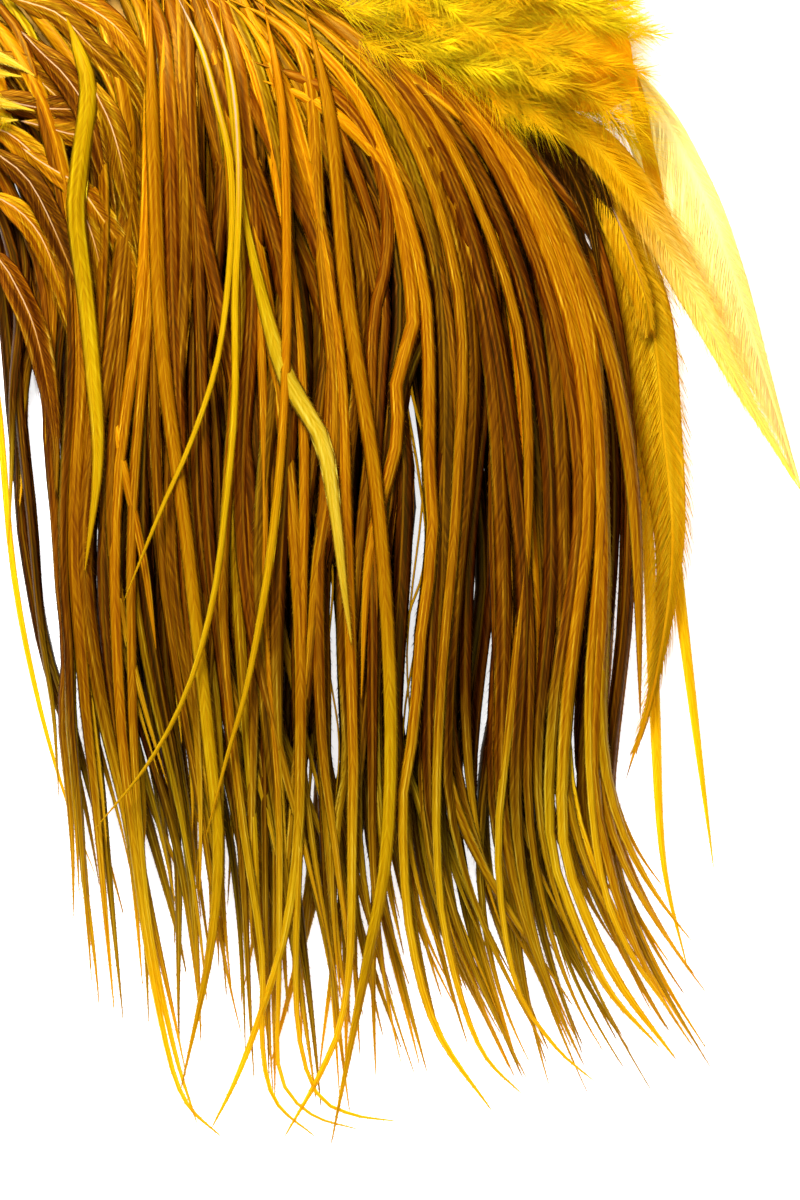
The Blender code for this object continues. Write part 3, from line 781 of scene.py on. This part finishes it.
rng = np.random.default_rng(77)
extras = []
for lock, wide, dye, points in HOOKED:
    path = raised(parted(along_points(points)), OVER_TOP)
    dye = dye * rng.uniform(0.9, 1.2)
    hooked = points[-1][1] < HOOK_LINE
    tipward = wide * (1 + 0.8 * hooked * ease((np.linspace(0, 1, PATH_POINTS) - 0.7) / 0.3))
    extras.append((lock, course_of(
        rng, hackle_blanks, path, dye, fade=1.0 if hooked else 0.3, wide=tipward, swing=0.2, deep=0.6,
        tip_dye=HOOK_TIP if hooked else dye * 0.8, turn=0.62,
    )))
for number, (lock, points) in enumerate(CONTOUR):
    path = raised(along_points(points, SHORT_POINTS), OVER_TOP, 0.2 * number - 1.4)
    path[:, 2] -= 2.0 * ease((np.linspace(0, 1, SHORT_POINTS) - 0.6) / 0.4)
    dye = (GOLD, GOLD, ORANGE_BROWN)[number % 3] * rng.uniform(0.7, 1.0)
    extras.append((lock, course_of(
        rng, contour_blanks, path, dye, fade=0.2, swing=0.3, quill=0.7, bared=0.3, finish=contour_web
    )))
for lock, wide, points in WISPS:
    path = raised(along_points(points), OVER_TOP, -3.0)
    extras.append((lock, course_of(rng, hackle_blanks, path, OLIVE, fade=1.0, wide=wide, swing=0.2)))
for number, points in enumerate(PALE_DOWN):
    path = raised(along_points(points, SHORT_POINTS), OVER_TOP, 0.8 + 0.2 * number)
    extras.append((1, course_of(
        rng, contour_blanks, path, PALE_DOWN_DYE, fade=0.0, wide=0.5, swing=0.1, finish=contour_web
    )))
for lock, points in HOLLOW:
    # Painted shade: the right hollow's feathers are dyed darker still than those on the left.
    dye = DEEP_BROWN * (0.6 if lock == 12 else 1.2)
    path = along_points(points, SHORT_POINTS)
    extras.append((lock, course_of(
        rng, contour_blanks, path, dye, fade=0.0, wide=1.1, finish=contour_web
    )))

lay_row(
    "top_feathers", "top_hackle", TOP_ROW, TOP_REST, 12, 2.0,
    (DEEP_BROWN, ORANGE_BROWN, OLIVE, GOLD, BRIGHT), (0.10, 0.43, 0.05, 0.38, 0.04), seed=3,
    extras=extras, spill=1.4, girth=(0.8, 1.5), bare=0.07,
)


# The cover: short broad body feathers that shingle the front of the skin, each overlapping the
# next like roof tiles. They have rounded webby tips and hide where the long hackles are rooted.
COVER_ROW = (
    ((-66, 31), (-66, 15), (-67, 2), (-68, -12)),
    ((-30, 35), (-30, 18), (-29, 3), (-27, -12)),
    ((5, 34), (6, 18), (8, 3), (10, -11)),
    ((45, 33), (47, 18), (50, 4), (54, -10)),
)
COVER_REST = ((12, 2.1), (-12, 9.2))
COVER_LOCKS, COVER_TIERS, COVER_IN_TIER = 5, 4, 4
COVER_POINTS = 20
COVER_RUN = 0.46  # how much of the way down the row a cover feather takes

web_finish = feather_finish("webby_feather", 0.42, roughness=0.55, streaks=0.8)
cover_blanks = [
    webby_blank(f"cover_blank_{k}", 24.0, 5.2, 5.2, 1.3, 9, 30, 40 + k, round_profile, girth=0.10)
    for k in range(3)
]

for lock in range(COVER_LOCKS):
    rng = np.random.default_rng(500 + lock)
    courses = []
    for tier in range(COVER_TIERS):
        for k in range(COVER_IN_TIER):
            offset = (k + 0.5 * (tier % 2) + rng.uniform(0.1, 0.4)) / COVER_IN_TIER
            start = max(0.0, 0.03 + 0.17 * tier + rng.uniform(-0.06, 0.06))
            along = np.linspace(start, start + COVER_RUN, COVER_POINTS)
            drift = rng.normal(0, 0.02) * np.linspace(0, 1, COVER_POINTS)
            across = np.clip((lock + offset) / COVER_LOCKS + drift, 0.01, 0.99)
            flat = on_sheet(COVER_ROW, across, along)
            arch = np.sin(np.linspace(0, math.pi * 0.8, COVER_POINTS))
            lift = 0.4 + 0.25 * (COVER_TIERS - 1 - tier) + 1.3 * arch
            path = raised(flat, COVER_REST, lift)
            dye = (ORANGE_BROWN, GOLD, OLIVE, GOLD)[rng.integers(4)] * rng.uniform(0.85, 1.2)
            wide = rng.uniform(0.85, 1.1)
            courses.append(course_of(rng, cover_blanks, path, dye, fade=0.35, wide=wide, swing=0.1))
    number = f"{lock + 1:02d}"
    join_feathers(f"cover_feathers_{number}", courses, web_finish, [f"cover_feather_{number}"])


# The flank feathers: broad webby feathers from the saddle's sides, lying out on the surface.
# Their web is thin, so the white surface shows through it, and its edges part into a fringe.
def blade_profile(along):
    """A flank feather's width along it: widest below the middle, with a long pointed tip."""
    base = 0.10 + 0.90 * ease(along / 0.28)
    tip = 1.0 - 0.30 * ease((along - 0.35) / 0.4) - 0.66 * ease((along - 0.55) / 0.45)
    return base * np.clip(tip, 0.03, 1.0)


def spoon_profile(along):
    """A short flank feather's width: it widens to a blunt, rounded end."""
    return (0.10 + 0.90 * ease(along / 0.55)) * np.sqrt(np.clip(1.01 - along**7, 0.0, 1.0))


PALE_YELLOW = np.array((0.83, 0.76, 0.40))
FLANK_YELLOW = np.array((0.70, 0.42, 0.005))
# name: (half-widths to the right and left of the shaft as its tip points down, barbs a side,
# profile, roll, dye, pale quill, path)
FLANK_FEATHERS = {
    "broad": (3.4, 12.5, 300, blade_profile, 0.0, PALE_YELLOW, 0.0, ((86, -24, 2.5), (101, -37, 3.6),
        (114, -60, 2.8), (121, -78, 2.4), (128, -100, 2.2), (138, -132, 1.8))),
    "long": (6.4, 5.4, 420, blade_profile, 0.15, FLANK_YELLOW, 0.0, ((62, -32, 4.0), (70, -40, 10.5),
        (80, -45, 11.5), (90, -52, 11.0), (100, -65, 9.5), (111, -84, 6.5), (122, -105, 4.2),
        (138, -132, 2.8))),
    "blunt": (2.4, 5.4, 200, spoon_profile, 0.25, FLANK_YELLOW * 0.9, 1.0, ((73, -27, 2.6),
        (84, -46, 8.8), (93, -66, 7.4), (100, -84, 6.8), (102, -95, 6.0))),
    "bright": (6.6, 9.5, 460, blade_profile, 0.1, FLANK_YELLOW * 0.8, 0.0, ((64, -24, 2.6),
        (88, -58, 4.8), (101, -86, 3.6), (105, -117, 3.6), (107, -145, 3.5), (103, -175, 3.4),
        (96, -199, 3.3))),
    "left": (7.0, 6.0, 200, blade_profile, 0.0, FLANK_YELLOW, 0.0, ((-66, -10, 3.2), (-79, -25, 2.8),
        (-87, -49, 2.0), (-91, -74, 1.2), (-89, -98, 1.2), (-82, -118, 0.9))),
}
FRINGES = {"bright": 1.75, "long": 1.5}  # how far the barbs reach, against the web's width
PALE_SEE_THROUGH_END = np.array((0.86, 0.74, 0.20))  # the long one's outer half, painted pale for the white surface that shows through it
# A strip of barbs that is folded over the broad one's base
BASE_STRIP = ((97, -28, 4.0), (99, -40, 5.4), (101, -51, 5.0), (105, -66, 4.4))
flank_web = feather_finish(
    "flank_web", 0.42, roughness=0.6, streaks=0.7, banding=0.3, rim_share=0.2, sweep=12.0, fineness=1.6
)
thin_web = feather_finish(
    "thin_web", 0.5, roughness=0.6, streaks=0.5, banding=0.15, sweep=20.0, fineness=1.6
)

for number, (name, facts) in enumerate(FLANK_FEATHERS.items()):
    left, right, barbs, profile, roll, dye, quill, points = facts
    path = along_points(points)
    length = float(stretches(path).sum())
    blank = webby_blank(
        f"flank_blank_{name}", length, left, right, 0.9, 30, barbs, 60 + number, profile,
        lean=33.0, fringe=FRINGES.get(name, 1.3), girth=0.14,
        shell_share=0.9 if name == "broad" else 0.78,
    )
    rng = np.random.default_rng(600 + number)
    pale_end = name == "long"
    courses = [course_of(
        rng, [blank], path, dye, fade=1.0 if pale_end else 0.3, roll=roll, swing=0.12, quill=quill,
        bared=0.5, tip_dye=PALE_SEE_THROUGH_END if pale_end else FLANK_YELLOW * 1.2, turn=0.36,
    )]
    if name == "broad":
        strip = along_points(BASE_STRIP, SHORT_POINTS)
        courses.append(course_of(rng, cover_blanks, strip, FLANK_YELLOW, wide=0.42, finish=flank_web))
    finish = thin_web if name == "broad" else flank_web
    join_feathers(f"flank_web_{name}", courses, finish, [f"flank_feather_{name}"])


# The edge hackles: single thin hackles at the sides of the patch. They lie apart on the white
# surface, so they look a clear yellow.
EDGE_LEMON = np.array((0.70, 0.50, 0.006))
EDGE_HACKLES = {
    "outer": (0.95, ((73, -36, 2.6), (92, -61, 1.2), (101, -91, 0.6), (106, -121, 0.6),
        (108, -147, 0.6), (112, -181, 0.6), (117, -220, 0.6))),
    "inner": (0.95, ((69, -37, 2.6), (86, -63, 1.2), (95, -93, 0.6), (101, -137, 0.6), (103, -180, 0.6),
        (105, -217, 0.6), (111, -244, 0.6))),
    "left": (0.52, ((-66, -22, 3.4), (-65, -44, 2.6), (-59, -75, 1.2), (-52, -105, 0.6),
        (-48, -147, 0.6), (-43, -175, 0.6), (-36, -201, 0.6), (-28, -222, 0.6))),
}

for number, (name, (wide, points)) in enumerate(EDGE_HACKLES.items()):
    rng = np.random.default_rng(700 + number)
    course = course_of(
        rng, hackle_blanks, along_points(points), EDGE_LEMON, fade=0.8, wide=wide, swing=0.25,
        tip_dye=EDGE_LEMON,
    )
    join_feathers(f"edge_web_{name}", [course], thin_hackle, [f"edge_hackle_{name}"])


# The stray hackles: single bright or olive feathers that have worked loose and lie across the
# top row, some with a bare white quill.
STRAY_REST = ((-8, 7.8), (-34, 15.9), (-80, 14.1), (-225, 14.1), (-262, 9.2))
STRAY_STEP = 1.8
PALE_OLIVE = np.array((0.47, 0.30, 0.001))
LEMON = np.array((0.56, 0.38, 0.003))
PALE_TIP = np.array((0.64, 0.50, 0.04))
# name: (widths against a plain hackle's from root to tip, level, dye, pale quill, (x, y) path)
STRAY_HACKLES = {
    "olive_left": ((0.4, 1.3, 1.35, 1.4, 1.3), 0, PALE_OLIVE, 0.0, ((-36, -17), (-32, -27), (-29, -38),
        (-31, -55), (-32, -67), (-30, -84), (-28, -104), (-27, -125), (-30, -150))),
    "bright": ((0.45, 0.5, 0.5, 0.5, 0.7), 1, LEMON, 1.0, ((-9, -15), (-3, -28), (1, -42), (4, -56),
        (4, -75), (1, -100), (-5, -119), (-12, -135), (-21, -157))),
    "pale": ((0.3, 0.4, 1.6, 1.35, 1.8), 0.4, LEMON * 0.9, 0.0, ((1, -16), (4, -42), (7, -66),
        (12, -89), (17, -105), (25, -119), (28, -135), (30, -152), (32, -167))),
    "long_left": ((0.4, 0.5, 0.55, 0.55, 0.8), 2, LEMON, 1.0, ((-2, -16), (4, -34), (6, -58), (5, -86),
        (5, -110), (3, -133), (0, -156), (-6, -177), (-15, -194), (-28, -210))),
    "long_right": ((0.6, 0.7, 0.7, 0.7, 0.9), 1, GOLD * 1.2, 0.0, ((11, -15), (16, -44), (17, -86),
        (16, -117), (13, -147), (8, -175), (3, -193), (-2, -212))),
    "olive_low": ((0.9, 1.1, 1.1, 1.2, 1.4), 0, GOLD, 0.0, ((-15, -15), (-14, -51), (-12, -98),
        (-6, -145), (-1, -191), (1, -214), (-1, -238), (-8, -271))),
    "yellow_low": ((0.9, 1.1, 1.1, 1.2, 1.4), 0, GOLD, 0.0, ((20, -15), (27, -44), (31, -86),
        (38, -133), (41, -180), (40, -215), (36, -238), (27, -284))),
}

for number, (name, (widths, level, dye, quill, points)) in enumerate(STRAY_HACKLES.items()):
    path = raised(along_points(points), STRAY_REST, level * STRAY_STEP + 0.4)
    wide = np.interp(np.linspace(0, 1, PATH_POINTS), np.linspace(0, 1, len(widths)), widths)
    rng = np.random.default_rng(800 + number)
    course = course_of(
        rng, hackle_blanks, path, dye, fade=0.9, wide=wide, swing=0.25, quill=quill, bared=0.14,
        tip_dye=PALE_TIP if name == "pale" else LEMON, turn=0.45,
    )
    join_feathers(f"stray_web_{name}", [course], thin_hackle, [f"stray_hackle_{name}"])


# The down: soft plumes from the bases of the feathers, ruffled up along the front and flanks.
# Its barbs are hair-fine, gold to bright yellow and paler towards the plumes' ends. The core under
# them is dyed a darker orange, as painted shade inside the tuft.
DOWN_CORE_SHADE = np.array((0.95, 0.51, 0.002))
DOWN_GOLD = np.array((1.0, 0.66, 0.002))
DOWN_LEMON = np.array((1.0, 0.86, 0.010))
PLUME_RISE = 0.30  # how far plumes stand off the tuft, against their flow
PLUME_DROOP = 0.22  # how far their ends hang, in reaches
DOWN_TOP, DOWN_SETTLE = 22.0, 0.5  # barbs above this height settle by this share of the rest
# node: (barbs, barbs in a plume, way that the plumes lie, how much they differ in it, their reach
# in mm, how far some of them stray from the tuft, the core's size against the solid's)
DOWN_TUFTS = {
    "down_right": (7000, 50, (0.9, -0.35, 0.15), 0.45, 10.0, (-6, 0, -3), 0.74),
    "down_right_flank": (18500, 150, (0.92, -0.30, 0.06), 0.20, 15.0, (-40, 5, -1), 0.92),
    "down_front": (9500, 42, (0.1, 0.8, 0.25), 0.50, 8.0, (0, -13, -5), 0.70),
    "down_left": (5500, 45, (-0.8, 0.1, 0.2), 0.50, 9.0, (8, 0, -4), 0.72),
    "down_left_flank": (1800, 150, (-0.5, -0.7, 0.2), 0.20, 8.0, (0, 0, 0), 0.92),
}
# Loose plumes at the right flank's outer edge, which stand straight out: (x, y, z)
OUTER_PLUMES = (
    (84, -17, 8), (84, -20, 8), (84, -23, 7), (84, -26, 7), (84, -29, 7), (83, -33, 6), (82, -37, 6),
    (81, -41, 5), (80, -45, 5), (79, -50, 4),
)
OUTERMOST = len(OUTER_PLUMES)

down_dye, node = new_finish("down_barbs")
dye = node("Attribute", attribute_name="dye")
cloud = node("TexNoise", Vector=node("TexCoord").outputs["Object"], Scale=160.0, Detail=3.0)
colour = node("HueSaturation", Color=dye, Value=node("MapRange", cloud, 0.35, 0.65, 0.92, 1.15))
body = node("BsdfPrincipled", colour, Roughness=0.8, **{"Specular IOR Level": 0.08})
node("OutputMaterial", node("MixShader", 0.66, body, node("BsdfTranslucent", colour)))

down_barb = barb_blank("down_barb", 1)

for number, (name, facts) in enumerate(DOWN_TUFTS.items()):
    count, plume_barbs, flow, spread, reach, stray, core_size = facts
    rng = np.random.default_rng(900 + number)
    bm = bmesh.new()
    bm.from_mesh(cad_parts[name].data)
    bmesh.ops.remove_doubles(bm, verts=bm.verts, dist=1e-6)
    low, high = (np.array(corner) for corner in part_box(name))
    middle = Vector((low + high) / 2)
    middle.z = low[2]
    for vert in bm.verts:
        vert.co = middle + (vert.co - middle) * core_size
    bmesh.ops.subdivide_edges(bm, edges=bm.edges, cuts=1, use_grid_fill=True)
    bm.normal_update()
    tops = [f for f in bm.faces if f.normal.z > 0.05]
    areas = np.array([f.calc_area() for f in tops])
    spots = np.array([f.calc_center_median() for f in tops])
    rises = np.array([f.normal for f in tops])
    mesh, core = with_barbs(bm, f"{name}_barbs", count, down_barb)
    places = coords_of(mesh)

    # Each plume has a base on the tuft, a shaft that its barbs leave to both sides, and a reach.
    plumes = count // plume_barbs + 1
    pick = rng.choice(len(tops), plumes, p=areas / areas.sum())
    scatter = rng.uniform(-0.5, 0.5, (plumes, 3)) * np.sqrt(areas[pick])[:, None] * (1, 1, 0.2)
    bases = spots[pick] + scatter
    bases += np.array(stray) * MM * rng.uniform(0, 1, plumes)[:, None] ** 1.6
    shafts = np.array(flow) + PLUME_RISE * rises[pick] + rng.normal(0, spread, (plumes, 3))
    outer = name == "down_right_flank"
    if outer:
        bases[:OUTERMOST] = np.array(OUTER_PLUMES) * MM
        shafts[:OUTERMOST] = (1.0, -0.12, 0.0) + rng.normal(0, 0.10, (OUTERMOST, 3))
    shafts = unit(shafts)
    sides = unit(np.cross(shafts, (0.0, 0.0, 1.0)))
    reaches = reach * MM * rng.uniform(0.8, 1.5, plumes)
    if outer:
        reaches[:OUTERMOST] *= 0.8

    of = rng.integers(0, plumes, count)
    along = rng.uniform(0, 1, count)[:, None]
    hand = rng.choice((-1.0, 1.0), count)[:, None]
    lean = np.radians(rng.uniform(14, 46, count))[:, None] * (1 - 0.5 * along)
    droop = np.array((0.0, 0.0, -PLUME_DROOP)) * along**2
    roots = bases[of] + (shafts[of] * along + droop - 0.12 * shafts[of]) * reaches[of][:, None]
    aims = shafts[of] * np.cos(lean) + hand * sides[of] * np.sin(lean)
    aims = unit(aims + rng.normal(0, 0.14, (count, 3)))
    bows = rng.normal(0, 0.16, (count, 3)) + (0, 0, -0.12)
    lengths = reaches[of] * rng.uniform(0.5, 0.95, count) * (1 - 0.35 * along[:, 0])
    girths = rng.uniform(0.05, 0.11, count) * MM
    places[core:] = barbs_placed(roots, aims, bows, lengths, girths, down_barb)
    places[:, 2] -= DOWN_SETTLE * np.maximum(places[:, 2] - DOWN_TOP * MM, 0.0)
    places[:, 2] = np.maximum(places[:, 2], SURFACE_GAP * MM)
    mesh.vertices.foreach_set("co", places.ravel())

    plume_lemon = rng.uniform(0, 0.8, plumes)
    if outer:
        plume_lemon[:OUTERMOST] = 1.0
    lemon = np.clip(plume_lemon[of] + 0.3 * along[:, 0] + rng.normal(0, 0.1, count), 0, 1)[:, None]
    barb_dye = (DOWN_GOLD * (1 - lemon) + DOWN_LEMON * lemon) * (0.8 + 0.2 * along)
    dyes = np.ones((len(places), 4))
    # Painted shade: the core, inside the tuft, takes a darker orange than its barbs.
    dyes[:core, :3] = DOWN_CORE_SHADE
    dyes[core:, :3] = np.repeat(barb_dye, len(down_barb.vertices), axis=0)
    on_points(mesh, "dye", "FLOAT_COLOR", dyes)
    mesh.shade_smooth()
    mesh.materials.append(down_dye)
    tuft = in_scene(f"{name}_barbs", mesh)
    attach(tuft, "root")
    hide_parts(name)


# The studio: a white surface, lit evenly from below as on a viewing table, and wide soft
# lamps overhead that are stronger towards the roots of the feathers.
def add_light(name, where, aim, size, power):
    lamp = bpy.data.lights.new(name, "AREA")
    lamp.shape = "SQUARE"
    lamp.size = size
    lamp.energy = power
    placed = in_scene(name, lamp)
    placed.location = where
    placed.rotation_euler = (Vector(aim) - Vector(where)).to_track_quat("-Z", "Y").to_euler()


FLOOR_SIZE = 6.0
FLOOR_GAP = 0.2  # how far the surface lies under the patch, in millimetres
PAPER = {
    "Base Color": (0.9, 0.9, 0.9, 1.0), "Roughness": 0.9, "Specular IOR Level": 0.1,
    "Emission Color": (1.0, 1.0, 1.0, 1.0), "Emission Strength": 0.75,
}

bm = bmesh.new()
bmesh.ops.create_grid(bm, x_segments=1, y_segments=1, size=FLOOR_SIZE / 2)
floor = in_scene("white_surface", mesh_of(bm, "white_surface"))
floor.location = (0, 0, -FLOOR_GAP * MM)
white, node = new_finish("white_surface")
node("OutputMaterial", node("BsdfPrincipled", **PAPER))
floor.data.materials.append(white)

add_light("overhead_softbox", (-0.14, 0.27, 0.42), (0.05, -0.03, 0.0), 0.25, 11.0)
add_light("fill_softbox", (0.3, -0.3, 1.3), (0.04, -0.15, 0.0), 0.8, 4.5)
world = bpy.data.worlds.new("studio_air")
world.use_nodes = True
world.node_tree.nodes["Background"].inputs["Color"].default_value = (1.0, 1.0, 1.0, 1.0)
world.node_tree.nodes["Background"].inputs["Strength"].default_value = 0.3
bpy.context.scene.world = world
